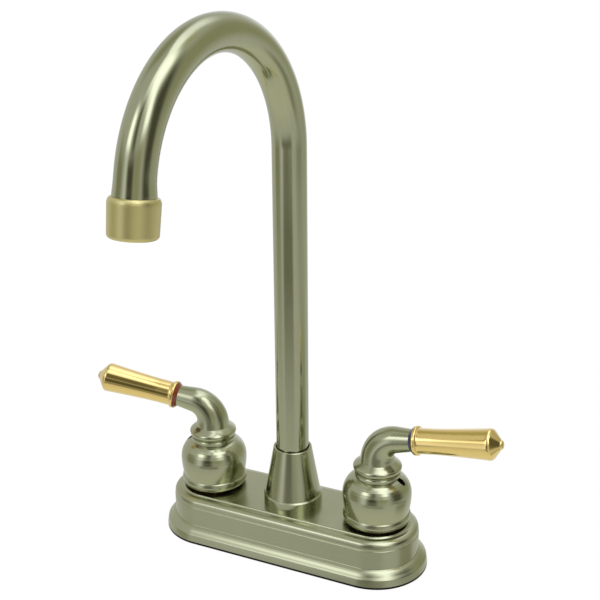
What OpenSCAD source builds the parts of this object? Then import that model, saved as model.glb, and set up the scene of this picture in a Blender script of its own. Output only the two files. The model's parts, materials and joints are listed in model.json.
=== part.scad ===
// Gooseneck bar faucet: a two-handle centreset on a stadium-shaped base.
// +Z is up and the deck is the plane z = 0, with the origin under the spout post.
// +X runs along the base towards the cold handle, and the spout reaches towards -Y.

/* [Base] */
// Distance between the hot and cold valve centres
valve_spread = 101.6; // [98:0.2:106]
// Distance between the centres of the base's round ends
base_end_spread = 99.8; // [94:0.2:104]
// Radius of the base's round ends where they meet the deck
base_r = 29.2; // [27:0.1:32]
// Height of the base's flat top above the deck
base_top = 26; // [24.5:0.1:30]
// How far the upper tier is set in from the foot
tier_inset = 5; // [4:0.1:6]
// Height of the lower tier's shoulder above the gasket
shoulder_h = 7.8; // [6:0.1:11]
// Width of the rounding round the flat top
top_round_w = 5.8; // [3:0.1:6]
// Height of the rounding round the flat top
top_round_h = 6; // [4:0.1:8]
// Wall of the base cover
cover_wall = 1.8; // [1.2:0.1:2.2]
// Thickness of the black gasket under the base
gasket_t = 1.2; // [0.8:0.1:2]

/* [Under the deck] */
// Thickness of the sink deck that is clamped
deck_t = 6; // [3:0.5:20]
// Outer radius of the threaded shanks
shank_r = 10.45; // [9.5:0.05:10.8]
// Length of the shanks below the deck
shank_len = 60; // [50:1:80]
// Length of thread at each shank's end for the supply's coupling nut
supply_len = 22; // [15:1:25]
// Outer radius of the deck washers
washer_r = 18; // [16:0.5:22]
// Thickness of the deck washers
washer_t = 2; // [1:0.5:4]
// Height of the lock nuts
lock_nut_h = 8; // [6:0.5:12]
// Radius of the water way in each shank
shank_bore_r = 6.3; // [4:0.1:7]

/* [Valves] */
// Outer radius of the valve barrels
barrel_r = 11; // [10.6:0.1:11.5]
// Height of the barrels' top above the deck
barrel_top = 30; // [29:0.5:32]
// Radius of the bore that holds a cartridge
barrel_bore_r = 8.55; // [8:0.05:8.8]
// Height of the cartridge seat above the deck
seat_z = 5; // [4:0.5:7]
// Thickness of each ceramic disc
disc_t = 2.5; // [2:0.1:3]
// Radius of the spindle's shaft
spindle_r = 4.9; // [4.4:0.1:5.4]
// Radius of the spindle's drive end, inside the handle
drive_r = 3.95; // [3.4:0.05:4.2]
// Length of the cartridge's neck above its flange
cartridge_neck = 7; // [5:0.5:7]

/* [Spout] */
// Outer radius of the gooseneck tube
tube_r = 9; // [8:0.1:9.1]
// Wall of the gooseneck tube
tube_wall = 1.2; // [0.8:0.1:1.5]
// Radius of the arch, at the tube's centre line
arch_r = 63.5; // [55:0.2:80]
// Height of the arch's centre above the deck
arch_z = 228.5; // [180:1:260]
// Length of the outlet nipple below the end of the arch
tail_len = 15.9; // [12.5:0.1:24]
// Forward lean of the outlet, in degrees
outlet_lean = 9; // [0:0.5:12]
// Turn of the spout at rest about its post, in degrees
spout_turn = -3.8; // [-10:0.1:10]
// Outer radius of the flange under the spout's collar
flange_r = 16.4; // [15.8:0.1:20]
// Height of that flange
flange_h = 6.1; // [5:0.1:8]
// Radius of the conical collar at its foot
cone_r = 15.5; // [15:0.1:16]
// Radius of the conical collar at its lip
cone_lip_r = 10.6; // [10.4:0.1:12]
// Height of the conical collar
cone_h = 28; // [24:0.5:40]
// Wall of the conical collar
cone_wall = 1.1; // [0.8:0.1:1.2]
// Outer radius of the threaded boss that carries the spout
boss_r = 10.4; // [10:0.1:10.8]
// Height of that boss above the deck
boss_top = 36; // [34:0.5:38]
// Radius of the bore that the spout turns in
spout_bore_r = 7.5; // [7:0.05:7.6]

/* [Outlet] */
// Outer radius of the aerator's housing
aerator_r = 11.4; // [11.1:0.1:13]
// Height of the aerator's housing
aerator_h = 17.5; // [15:0.1:18]
// How far the housing reaches below the nipple
aerator_drop = 7; // [6:0.1:9]
// Width of the rounded shoulder at the housing's top
aerator_chamfer = 1.6; // [0.6:0.1:1.8]
// Height of that shoulder
aerator_shoulder = 2.8; // [1:0.1:4]

/* [Handles] */
// Turn of the closed hot lever towards the front, in degrees
hot_turn = 12; // [0:1:20]
// Turn of the closed cold lever towards the front, in degrees
cold_turn = 1; // [0:1:20]
// Upward tilt of the levers, in degrees
lever_tilt = 9.9; // [0:0.1:15]
// Gap between the base's top and the handle bells
bell_gap = 1.6; // [0.5:0.1:2]
// Radius of the bead round the bell's foot
bell_bead_r = 18.6; // [17.8:0.1:19]
// Radius of the bell's waist
bell_waist_r = 17.7; // [17:0.05:18]
// Radius of the bell's belly
bell_belly_r = 18.8; // [17.8:0.05:19.5]
// Height of the belly above the bell's foot
bell_belly_z = 15.6; // [13:0.1:17]
// Height of the bell's neck above its foot
bell_neck_z = 26.2; // [25:0.1:28]
// Radius of the bell's neck
bell_neck_r = 12.5; // [12:0.1:13]
// Inner radius of the bell
bell_inner_r = 15.4; // [14.8:0.1:15.6]
// Radius of the cup at the lever's foot
cup_r = 13.2; // [12.6:0.1:14]
// Radius of the lever arm where it leaves the cup
arm_foot_r = 9.4; // [8.5:0.1:10]
// Radius of the lever arm at the index ring
arm_end_r = 6; // [5.6:0.1:6.8]
// Height of the lever arm's foot below its bend
arm_foot_h = 8; // [6.5:0.1:14]
// Radius of the lever arm's bend, at its centre line
arm_bend_r = 12.5; // [11.5:0.1:16]
// Length of the straight end of the lever arm
arm_straight = 9.2; // [5:0.1:12]
// Thickness of the coloured index ring
index_t = 1.9; // [1.2:0.1:3]
// Length of the grip, from the index ring to the finial's tip
grip_len = 47.9; // [45:0.1:75]
// Radius of the bead at the grip's inner end
grip_bead_r = 7.95; // [7.75:0.05:9]
// Smallest radius of the grip
grip_r = 6.85; // [6.3:0.05:7]
// Largest radius of the grip, near its tip
grip_end_r = 8.3; // [7.5:0.05:9]
// Length of the blunt cone and finial at the grip's tip
grip_tip = 7; // [5:0.1:9]
// Radius of the finial at the grip's tip
finial_r = 2.5; // [1.6:0.1:3]
// Radius of the stud that joins grip and arm
stud_r = 2.5; // [2:0.1:3]
// Radius of the handle's set screw
screw_r = 1.8; // [1.5:0.1:2]

/* [Fits] */
// Radial clearance of the pieces that turn
running = 0.05; // [0.02:0.01:0.08]
// Radial clearance of threads and of pieces that stand still
static_fit = 0.05; // [0.02:0.01:0.1]
// Gap between pieces that pass each other without guiding
free_gap = 0.3; // [0.2:0.05:0.5]

/* [Hidden] */
$fn = 96;

// Colours, as the photo shows them
satin = [0.62, 0.62, 0.54];
polished = [0.86, 0.74, 0.42];
raw_brass = [0.72, 0.58, 0.30];
steel = [0.66, 0.67, 0.69];
rubber = [0.06, 0.06, 0.06];
ceramic = [0.93, 0.92, 0.88];
plastic = [0.80, 0.81, 0.80];
hot_colour = [0.52, 0.17, 0.10];
cold_colour = [0.10, 0.13, 0.32];

// Sides: each valve stands at side * valve_spread / 2
hot = -1;
cold = 1;

// Base
tier_r = base_r - tier_inset;
shoulder_c = tier_r - 1.6;
shoulder_steps = 10;
round_steps = 8;
cover_under = base_top - cover_wall;
waterway_z = 12;
waterway_r = 7.5;
waterway_bore_r = 5;
foot_r = 14;
foot_t = 2.5;
boss_foot_r = 12.5;
boss_floor = 6;
boss_thread_z = cover_under - 1;

// Under the deck
washer_z = -deck_t - washer_t;
lock_nut_z = washer_z - lock_nut_h;
relief_r = shank_r - 0.6;
relief_h = 2;
supply_top = -shank_len + supply_len;
lock_nut_corner_r = 17;

// Cartridge stack, from the seat upwards
seal_t = 2;
seal_z = seat_z;
disc_film = 0.05;
fixed_z = seal_z + seal_t;
moving_z = fixed_z + disc_t + disc_film;
dog_z = moving_z + disc_t;
dog_h = 2.2;
cartridge_r = barrel_bore_r - static_fit;
cavity_r = cartridge_r - 0.8;
dog_r = cavity_r - 0.7;
cartridge_flange_r = barrel_r - 0.6;
cartridge_flange_h = 2;
cartridge_neck_z = barrel_top + cartridge_flange_h;
cartridge_neck_r = 7;
cartridge_top = cartridge_neck_z + cartridge_neck;
chamber_r = barrel_bore_r + 1.1;
chamber_z = fixed_z + 1.5;
chamber_h = 5.5;
tongue_w = 4;
tongue_t = 1;
port_r = 3.2;
cover_nut_h = 3;
bonnet_z = base_top + cover_nut_h + 0.2;
bonnet_h = 1.8;
nut_corner_r = 14.4;

// Spout seat: bearing, spigot flange and nut on top of the boss
bearing_t = 0.8;
spigot_flange_z = boss_top + bearing_t;
spigot_flange_h = 2;
spigot_flange_r = boss_r - 0.2;
tube_z = spigot_flange_z + spigot_flange_h;
spigot_foot = waterway_z + waterway_bore_r + 1.5;
spigot_r = spout_bore_r - running;
spigot_bore_r = 5.3;
spigot_head_r = tube_r - tube_wall - static_fit;
spigot_head_h = 11;
o_ring_wire = 0.72;
o_ring_r = spigot_r - o_ring_wire;
o_ring_z = [spigot_foot + 3.5, spigot_foot + 10];
nut_lip_z = tube_z + 0.2;
nut_lip_h = 2;
flange_z = base_top;
cone_z = flange_z + flange_h;
spout_nut_z = cone_z + 0.6;
spout_nut_r = boss_r + static_fit + 1.4;
register_h = 1.6;
register_r = spout_nut_r + 1.4;

// Outlet: a nipple continues the arch, and the aerator is screwed onto it
tube_end_z = -tail_len;
aerator_z = tube_end_z - aerator_drop;
aerator_top = aerator_z + aerator_h;
thread_h = 3;
thread_bore_r = tube_r + static_fit;
washer_seat = tube_end_z - 1.3;
mouth_r = tube_r + 0.15;
nipple_r = tube_r + 0.5;
nipple_spigot_r = tube_r - tube_wall - 0.2;
nipple_spigot_h = 3;
insert_r = tube_r - 0.5;
screen_t = 0.5;
lip_h = 0.9;

// Handle heights above the deck
bell_z = base_top + bell_gap;
belly_z = bell_z + bell_belly_z;
neck_z = bell_z + bell_neck_z;
neck_ring_h = 1.8;
neck_groove = 0.5;
bell_top = neck_z + 2 * neck_groove + neck_ring_h;
bell_shoulder_c = 9.5;
bell_shoulder_h = 10.9;
bead_h = 2.6;
hub_r = 7.2;
hub_z = cartridge_top + 1;
hollow_top = belly_z + 5;
screw_z = neck_z - 1.1;
drive_top = screw_z + screw_r + 0.4;
spigot_len = bell_top - drive_top - 0.5;
arm_spigot_r = 5;

// Lever arm: a path that rises from the bell, bends outwards and runs straight
arm_z = bell_top - spigot_len;
arm_rise = spigot_len + arm_foot_h;
arm_bend = 90 - lever_tilt;
arm_bend_len = arm_bend_r * arm_bend * PI / 180;
arm_len = arm_rise + arm_bend_len + arm_straight;
arm_sides = 24;
arm_steps = 16;
stud_in_arm = 7.5;
stud_in_grip = 14;
stud_hole_r = stud_r + 0.12;
// Cup outline: share of the cup's height, and share of its radius
cup_h = 6.2;
cup_outline = [[0, 0.915], [0.1, 0.955], [0.3, 0.99], [0.45, 1], [0.6, 0.965], [0.78, 0.86], [0.92, 0.765]];

function valve_x(side) = side * valve_spread / 2;
function lever_angle(side) = side == cold ? -cold_turn : 180 + hot_turn;

// Point and heading (0 is straight up) of the arm's centre line at length s
function arm_point(s) =
    s <= arm_rise ? [0, arm_z + s, 0] :
    s <= arm_rise + arm_bend_len ?
        let (a = (s - arm_rise) / arm_bend_len * arm_bend)
        [arm_bend_r * (1 - cos(a)), arm_z + arm_rise + arm_bend_r * sin(a), a] :
    let (e = s - arm_rise - arm_bend_len, a = arm_bend)
    [arm_bend_r * (1 - cos(a)) + e * sin(a), arm_z + arm_rise + arm_bend_r * sin(a) + e * cos(a), a];

// Ring of points of radius r round the arm's centre line at length s
function arm_ring(s, r) =
    let (p = arm_point(s))
    [for (i = [0 : arm_sides - 1])
        let (t = 360 * i / arm_sides, c = r * cos(t))
        [p[0] + c * cos(p[2]), r * sin(t), p[1] - c * sin(p[2])]];

// Closed surface through a list of rings, with a flat face at each end
module loft(rings) {
    n = len(rings[0]);
    m = len(rings);
    sides = [for (j = [0 : m - 2]) for (i = [0 : n - 1])
        let (a = j * n + i, b = j * n + (i + 1) % n)
        each [[a, a + n, b], [b, a + n, b + n]]];
    foot = [for (i = [0 : n - 1]) i];
    head = [for (i = [n - 1 : -1 : 0]) (m - 1) * n + i];
    polyhedron([for (r = rings) each r], concat(sides, [foot], [head]));
}

// Ring turned from a rectangle: radii r0 to r1, heights z0 to z1
module ring(r0, r1, z0, z1) {
    rotate_extrude() translate([r0, z0]) square([r1 - r0, z1 - z0]);
}

module at_valve(side) translate([valve_x(side), 0, 0]) children();

module at_spout() rotate([0, 0, spout_turn]) children();

// Places children with +Z up the tail's axis, from the end of the arch
module at_tail() {
    y = -arch_r * (1 + cos(outlet_lean));
    z = arch_z + arch_r * sin(outlet_lean);
    translate([0, y, z]) rotate([-outlet_lean, 0, 0]) children();
}

module at_outlet() at_spout() at_tail() children();

module at_handle(side) at_valve(side) rotate([0, 0, lever_angle(side)]) children();

// Places children with +Z along the grip's axis, from the arm's end
module at_grip(side) {
    p = arm_point(arm_len);
    at_handle(side) translate([p[0], 0, p[1]]) rotate([0, arm_bend, 0]) children();
}

// Half outline of the base, from its foot to its top, drawn in by a wall w
function base_outline(w) = [
    [base_r - w, gasket_t],
    for (i = [1 : shoulder_steps])
        let (t = acos((tier_r - shoulder_c) / (base_r - shoulder_c)) * i / shoulder_steps)
        [shoulder_c - w + (base_r - shoulder_c) * cos(t), gasket_t + shoulder_h * sin(t)],
    [tier_r - w, base_top - w - top_round_h],
    for (i = [1 : round_steps])
        let (t = 90 * i / round_steps)
        [tier_r - w - top_round_w * (1 - cos(t)), base_top - w - top_round_h * (1 - sin(t))]
];

// Solid with straight sides and round ends, from a half outline
module stadium(outline) {
    half = concat([[0, outline[0][1]]], outline, [[0, outline[len(outline) - 1][1]]]);
    for (side = [hot, cold])
        translate([side * base_end_spread / 2, 0, 0]) rotate([0, 0, -90 * side])
            rotate_extrude(angle = 180) polygon(half);
    rotate([90, 0, 90])
        linear_extrude(base_end_spread, center = true) {
            polygon(half);
            mirror([1, 0]) polygon(half);
        }
}

module base_gasket() color(rubber)
    difference() {
        stadium([[base_r, 0], [base_r, gasket_t]]);
        for (side = [hot, cold]) at_valve(side)
            translate([0, 0, -1]) cylinder(r = shank_r + free_gap, h = gasket_t + 2);
    }

module base_cover() color(satin)
    difference() {
        stadium(base_outline(0));
        translate([0, 0, -0.001]) stadium(base_outline(cover_wall));
        for (side = [hot, cold]) at_valve(side)
            translate([0, 0, cover_under - 1]) cylinder(r = barrel_r + 0.2, h = cover_wall + 2);
        translate([0, 0, cover_under - 1]) cylinder(r = boss_r + 0.2, h = cover_wall + 2);
    }

module valve_body() color(raw_brass)
    difference() {
        union() {
            for (side = [hot, cold]) at_valve(side) {
                translate([0, 0, -shank_len]) cylinder(r = shank_r, h = supply_len);
                translate([0, 0, supply_top]) cylinder(r = relief_r, h = relief_h);
                translate([0, 0, supply_top + relief_h])
                    cylinder(r = shank_r, h = gasket_t - supply_top - relief_h);
                translate([0, 0, gasket_t]) cylinder(r = foot_r, h = foot_t);
                translate([0, 0, gasket_t]) cylinder(r = barrel_r, h = barrel_top - gasket_t);
            }
            translate([0, 0, gasket_t]) cylinder(r = boss_foot_r, h = boss_thread_z - gasket_t);
            translate([0, 0, gasket_t]) cylinder(r = boss_r, h = boss_top - gasket_t);
            translate([0, 0, waterway_z]) rotate([0, 90, 0])
                cylinder(r = waterway_r, h = valve_spread, center = true);
        }
        for (side = [hot, cold]) at_valve(side) {
            translate([0, 0, -shank_len - 1]) cylinder(r = shank_bore_r, h = shank_len + seat_z + 2);
            translate([0, 0, seat_z]) cylinder(r = barrel_bore_r, h = barrel_top);
            translate([0, 0, chamber_z]) cylinder(r = chamber_r, h = chamber_h);
        }
        translate([0, 0, boss_floor]) cylinder(r = spout_bore_r, h = boss_top);
        translate([0, 0, waterway_z]) rotate([0, 90, 0])
            cylinder(r = waterway_bore_r, h = valve_spread - barrel_bore_r, center = true);
    }

module deck_washer() color(steel)
    ring(shank_r + free_gap, washer_r, washer_z, washer_z + washer_t);

module lock_nut() color(raw_brass)
    difference() {
        union() {
            translate([0, 0, lock_nut_z]) cylinder(r = lock_nut_corner_r, h = lock_nut_h - 1, $fn = 6);
            translate([0, 0, washer_z - 1.5]) cylinder(r = lock_nut_corner_r - 0.6, h = 1.5);
        }
        translate([0, 0, lock_nut_z - 1]) cylinder(r = shank_r + static_fit, h = lock_nut_h + 2);
    }

module cover_nut() color(raw_brass)
    difference() {
        translate([0, 0, base_top]) cylinder(r = nut_corner_r, h = cover_nut_h, $fn = 6);
        translate([0, 0, base_top - 1]) cylinder(r = barrel_r + static_fit, h = cover_nut_h + 2);
    }

module seat_seal() color(rubber)
    ring(shank_bore_r - 0.5, barrel_bore_r - static_fit, seal_z, fixed_z);

// Two round ports through a disc, opposite each other
module disc_ports(z) {
    for (a = [90, 270]) rotate([0, 0, a])
        translate([cavity_r / 2, 0, z - 1]) cylinder(r = port_r / 2 + 0.8, h = disc_t + 2);
}

module fixed_disc() color(ceramic)
    difference() {
        translate([0, 0, fixed_z]) cylinder(r = cavity_r - static_fit, h = disc_t);
        disc_ports(fixed_z);
    }

module moving_disc() color(ceramic)
    difference() {
        translate([0, 0, moving_z]) cylinder(r = cavity_r - 0.2, h = disc_t);
        translate([0, 0, moving_z + disc_t - tongue_t])
            linear_extrude(2) square([2 * dog_r, tongue_w + 0.2], center = true);
        translate([0, cavity_r / 2, moving_z - 1]) cylinder(r = port_r / 2 + 0.8, h = 2);
        translate([0, -cavity_r / 2, moving_z - 1]) cylinder(r = port_r / 2 + 0.8, h = 2);
    }

module cartridge_body() color(raw_brass)
    difference() {
        union() {
            translate([0, 0, fixed_z]) cylinder(r = cartridge_r, h = barrel_top - fixed_z);
            translate([0, 0, barrel_top]) cylinder(r = cartridge_flange_r, h = cartridge_flange_h);
            translate([0, 0, cartridge_neck_z]) cylinder(r = cartridge_neck_r, h = cartridge_neck);
        }
        translate([0, 0, fixed_z - 1]) cylinder(r = cavity_r, h = 2 * disc_t + dog_h + 1.2);
        translate([0, 0, fixed_z]) cylinder(r = spindle_r + running, h = cartridge_top);
        translate([0, 0, moving_z + disc_t / 2]) cube([4 * cartridge_r, port_r, disc_t - 0.6], center = true);
    }

module spindle() color(steel) {
    translate([0, 0, dog_z]) cylinder(r = dog_r, h = dog_h);
    translate([0, 0, dog_z - tongue_t + 0.1])
        linear_extrude(tongue_t) square([2 * dog_r - 1, tongue_w], center = true);
    translate([0, 0, dog_z]) cylinder(r = spindle_r, h = hub_z - 0.4 - dog_z);
    translate([0, 0, dog_z]) cylinder(r = drive_r, h = drive_top - dog_z);
}

module bonnet_nut() color(raw_brass)
    difference() {
        translate([0, 0, bonnet_z])
            cylinder(r = nut_corner_r, h = cartridge_neck_z + bonnet_h - bonnet_z, $fn = 6);
        translate([0, 0, bonnet_z - 1])
            cylinder(r = barrel_r + static_fit, h = cartridge_neck_z - bonnet_z + 1);
        translate([0, 0, bonnet_z]) cylinder(r = cartridge_neck_r + 0.1, h = 20);
    }

// Ring that screws onto the boss, clamps the cover and centres the collar
module spout_flange() color(satin)
    rotate_extrude() polygon([
        [boss_r + static_fit, flange_z],
        [flange_r, flange_z],
        [flange_r, cone_z - 0.7],
        [flange_r - 0.7, cone_z],
        [register_r, cone_z],
        [register_r, cone_z + register_h],
        [spout_nut_r + free_gap, cone_z + register_h],
        [spout_nut_r + free_gap, cone_z],
        [boss_r + static_fit, cone_z]
    ]);

module spout_cone() color(satin)
    rotate_extrude() polygon([
        [register_r + static_fit, cone_z],
        [cone_r, cone_z],
        [cone_lip_r, cone_z + cone_h - 0.3],
        [cone_lip_r - 0.3, cone_z + cone_h],
        [cone_lip_r - cone_wall, cone_z + cone_h],
        [register_r + static_fit, cone_z + register_h + free_gap]
    ]);

module spout_bearing() color(plastic)
    ring(spout_bore_r + 0.1, spigot_flange_r, boss_top, spigot_flange_z);

module spout_nut() color(raw_brass)
    rotate_extrude() polygon([
        [boss_r + static_fit, spout_nut_z],
        [spout_nut_r, spout_nut_z],
        [spout_nut_r, nut_lip_z + nut_lip_h - 0.5],
        [spout_nut_r - 0.5, nut_lip_z + nut_lip_h],
        [tube_r + 0.15, nut_lip_z + nut_lip_h],
        [tube_r + 0.15, nut_lip_z],
        [boss_r + static_fit, nut_lip_z]
    ]);

module spout_spigot() color(raw_brass)
    difference() {
        union() {
            translate([0, 0, spigot_foot]) cylinder(r = spigot_r, h = tube_z - spigot_foot);
            translate([0, 0, spigot_flange_z]) cylinder(r = spigot_flange_r, h = spigot_flange_h);
            translate([0, 0, tube_z]) cylinder(r = spigot_head_r, h = spigot_head_h);
        }
        translate([0, 0, spigot_foot - 1])
            cylinder(r = spigot_bore_r, h = tube_z + spigot_head_h - spigot_foot + 2);
        for (z = o_ring_z)
            ring(spigot_r - 2 * o_ring_wire, spigot_r + 1, z - o_ring_wire - 0.2, z + o_ring_wire + 0.2);
    }

module spout_o_rings() color(rubber)
    for (z = o_ring_z) translate([0, 0, z])
        rotate_extrude() translate([o_ring_r, 0]) circle(r = o_ring_wire - 0.01, $fn = 24);

module tube_solid(r, over) {
    translate([0, 0, tube_z - over]) cylinder(r = r, h = arch_z - tube_z + over);
    translate([0, -arch_r, arch_z]) rotate([90, 0, -90])
        rotate_extrude(angle = 180) translate([arch_r, 0]) circle(r = r);
    if (over > 0) translate([0, -2 * arch_r, arch_z - over]) cylinder(r = r, h = over);
}

module spout_tube() color(satin)
    at_spout() difference() {
        tube_solid(tube_r, 0);
        tube_solid(tube_r - tube_wall, 1);
        at_tail() translate([0, 0, -arch_r / 4]) cube([arch_r / 2, arch_r / 2, arch_r / 2], center = true);
    }

// Outlet nipple: a spigot in the tube, a flared collar and the thread below it
module spout_nipple() color(satin)
    at_outlet() rotate_extrude() polygon([
        [spigot_bore_r, tube_end_z],
        [tube_r, tube_end_z],
        [tube_r, aerator_top + 0.05],
        [nipple_r, aerator_top + 0.05],
        [nipple_r, aerator_top + 0.5],
        [tube_r, 0],
        [nipple_spigot_r, 0],
        [nipple_spigot_r, nipple_spigot_h],
        [spigot_bore_r, nipple_spigot_h]
    ]);

module aerator_housing() color(polished)
    at_outlet() rotate_extrude() polygon([
        [insert_r - 1, aerator_z],
        for (i = [0 : 6]) let (t = -90 + 15 * i)
            [aerator_r - 0.3 - 2 * (1 - cos(t)), aerator_z + 2 * (1 + sin(t))],
        for (i = [0 : 6]) let (t = 15 * i)
            [aerator_r - aerator_chamfer * (1 - cos(t)), aerator_top - aerator_shoulder * (1 - sin(t))],
        [mouth_r, aerator_top],
        [mouth_r, tube_end_z + thread_h + 0.8],
        [thread_bore_r, tube_end_z + thread_h],
        [thread_bore_r, washer_seat],
        [insert_r + static_fit, washer_seat],
        [insert_r + static_fit, aerator_z + lip_h],
        [insert_r - 1, aerator_z + lip_h]
    ]);

module aerator_washer() color(rubber)
    at_outlet() ring(tube_r - 2.5, tube_r, washer_seat, tube_end_z);

module aerator_insert() color(plastic)
    at_outlet() difference() {
        translate([0, 0, aerator_z + lip_h + screen_t])
            cylinder(r = insert_r, h = washer_seat - aerator_z - lip_h - screen_t);
        for (a = [0 : 45 : 315]) rotate([0, 0, a])
            translate([insert_r * 0.6, 0, aerator_z]) cylinder(r = 1.5, h = 10);
    }

module aerator_screen() color(steel)
    at_outlet() difference() {
        translate([0, 0, aerator_z + lip_h]) cylinder(r = insert_r, h = screen_t);
        for (a = [0 : 45 : 315]) rotate([0, 0, a])
            translate([insert_r * 0.6, 0, aerator_z]) cylinder(r = 1, h = 10);
    }

// Outer outline of the bell: bead, belly, shoulder, and the neck with its ring
function bell_outline() = [
    for (i = [0 : 8])
        let (top = acos((bell_waist_r - bell_bead_r + 1.4) / 1.4), t = -90 + (top + 90) * i / 8)
        [bell_bead_r - 1.4 + 1.4 * cos(t), bell_z + bead_h * (1 + sin(t))],
    for (i = [1 : 6])
        let (t = 15 * i, z0 = bell_z + 2 * bead_h)
        [bell_waist_r + (bell_belly_r - bell_waist_r) * sin(t), z0 + (belly_z - z0) * i / 6],
    for (i = [1 : 8])
        let (t = acos((bell_neck_r - bell_shoulder_c) / (bell_belly_r - bell_shoulder_c)) * i / 8)
        [bell_shoulder_c + (bell_belly_r - bell_shoulder_c) * cos(t), belly_z + bell_shoulder_h * sin(t)],
    [bell_neck_r - neck_groove, neck_z],
    [bell_neck_r - neck_groove, neck_z + neck_groove],
    [bell_neck_r - 0.2, neck_z + neck_groove],
    [bell_neck_r, neck_z + neck_groove + 0.3],
    [bell_neck_r, neck_z + neck_groove + neck_ring_h - 0.3],
    [bell_neck_r - 0.2, neck_z + neck_groove + neck_ring_h],
    [bell_neck_r - neck_groove, neck_z + neck_groove + neck_ring_h],
    [bell_neck_r - neck_groove, bell_top]
];

module handle_bell() color(satin)
    difference() {
        rotate_extrude() polygon(concat(bell_outline(), [
            [0, bell_top],
            [0, hub_z],
            [hub_r, hub_z],
            [hub_r, hollow_top],
            [bell_inner_r - 4, hollow_top],
            [bell_inner_r, hollow_top - 4],
            [bell_inner_r, bell_z]
        ]));
        translate([0, 0, hub_z - 1]) cylinder(r = drive_r + static_fit, h = drive_top - hub_z + 1.1);
        translate([0, 0, arm_z - 0.1]) cylinder(r = arm_spigot_r + static_fit, h = 10);
        translate([0, 0, screw_z]) rotate([0, 90, 0]) cylinder(r = screw_r + static_fit, h = 30);
    }

module set_screw() color(steel)
    translate([drive_r + 0.05, 0, screw_z]) rotate([0, 90, 0]) difference() {
        cylinder(r = screw_r, h = 6);
        translate([0, 0, 4.2]) cylinder(r = screw_r * 0.55, h = 3, $fn = 6);
    }

// Radius of the arm above its cup, at length s
function arm_radius(s) =
    arm_foot_r + (arm_end_r - arm_foot_r) * (s - spigot_len - cup_h) / (arm_len - spigot_len - cup_h);

module handle_arm() color(satin)
    loft(concat(
        [arm_ring(0, arm_spigot_r), arm_ring(spigot_len, arm_spigot_r)],
        [for (c = cup_outline) arm_ring(spigot_len + cup_h * c[0], cup_r * c[1])],
        [for (i = [0 : arm_steps])
            let (s = spigot_len + cup_h + (arm_len - spigot_len - cup_h) * i / arm_steps)
            arm_ring(s, arm_radius(s))],
        [arm_ring(arm_len, stud_hole_r), arm_ring(arm_len - stud_in_arm, stud_hole_r)]
    ));

module index_ring(side) color(side == hot ? hot_colour : cold_colour)
    rotate_extrude() polygon([
            [stud_hole_r, 0], [arm_end_r + 0.1, 0], [grip_bead_r - 0.3, index_t], [stud_hole_r, index_t]
    ]);

module grip_stud() color(steel)
    translate([0, 0, 0.1 - stud_in_arm])
        cylinder(r = stud_r, h = stud_in_arm + index_t + stud_in_grip - 0.2);

// Outline of the grip along its axis: bead, flared body, blunt cone and finial
function grip_outline() = let (
    z0 = index_t,
    bead = 2.3,
    body = z0 + bead + 0.8,
    end = z0 + grip_len - grip_tip,
    round_r = 2.4,
    dome = 1.2
) [
    [grip_bead_r - 0.5, z0],
    [grip_bead_r, z0 + 0.5],
    [grip_bead_r, z0 + bead - 0.6],
    [grip_bead_r - 0.6, z0 + bead],
    [grip_r + 0.1, z0 + bead],
    [grip_r, body],
    for (i = [1 : 8])
        let (x = i / 8, flare = x < 0.2 ? 0 : pow((x - 0.2) / 0.8, 1.4))
        [grip_r + (grip_end_r - grip_r) * flare, body + (end - body) * x],
    for (i = [1 : 4])
        let (t = 13 * i)
        [grip_end_r - round_r * (1 - cos(t)), end + round_r * sin(t)],
    [finial_r + 0.2, z0 + grip_len - dome - 0.3],
    [finial_r - 0.1, z0 + grip_len - dome],
    for (i = [1 : 5])
        let (t = 18 * i)
        [(finial_r - 0.1) * cos(t), z0 + grip_len - dome * (1 - sin(t))]
];

module grip() color(polished)
    difference() {
        rotate_extrude() polygon(concat([[0, index_t]], grip_outline()));
        translate([0, 0, index_t - 1]) cylinder(r = stud_r + static_fit, h = stud_in_grip + 1);
    }

base_gasket();
base_cover();
valve_body();
spout_flange();
spout_cone();
spout_bearing();
spout_nut();
spout_spigot();
spout_o_rings();
spout_tube();
spout_nipple();
aerator_housing();
aerator_washer();
aerator_insert();
aerator_screen();
at_valve(hot) deck_washer();  // hot_deck_washer
at_valve(hot) lock_nut();  // hot_lock_nut
at_valve(hot) cover_nut();  // hot_cover_nut
at_valve(hot) seat_seal();  // hot_seat_seal
at_valve(hot) fixed_disc();  // hot_fixed_disc
at_valve(hot) moving_disc();  // hot_moving_disc
at_valve(hot) cartridge_body();  // hot_cartridge_body
at_valve(hot) spindle();  // hot_spindle
at_valve(hot) bonnet_nut();  // hot_bonnet_nut
at_handle(hot) handle_bell();  // hot_handle_bell
at_handle(hot) set_screw();  // hot_set_screw
at_handle(hot) handle_arm();  // hot_handle_arm
at_grip(hot) grip_stud();  // hot_grip_stud
at_grip(hot) index_ring(hot);  // hot_index_ring
at_grip(hot) grip();  // hot_grip
at_valve(cold) deck_washer();  // cold_deck_washer
at_valve(cold) lock_nut();  // cold_lock_nut
at_valve(cold) cover_nut();  // cold_cover_nut
at_valve(cold) seat_seal();  // cold_seat_seal
at_valve(cold) fixed_disc();  // cold_fixed_disc
at_valve(cold) moving_disc();  // cold_moving_disc
at_valve(cold) cartridge_body();  // cold_cartridge_body
at_valve(cold) spindle();  // cold_spindle
at_valve(cold) bonnet_nut();  // cold_bonnet_nut
at_handle(cold) handle_bell();  // cold_handle_bell
at_handle(cold) set_screw();  // cold_set_screw
at_handle(cold) handle_arm();  // cold_handle_arm
at_grip(cold) grip_stud();  // cold_grip_stud
at_grip(cold) index_ring(cold);  // cold_index_ring
at_grip(cold) grip();  // cold_grip
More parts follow.
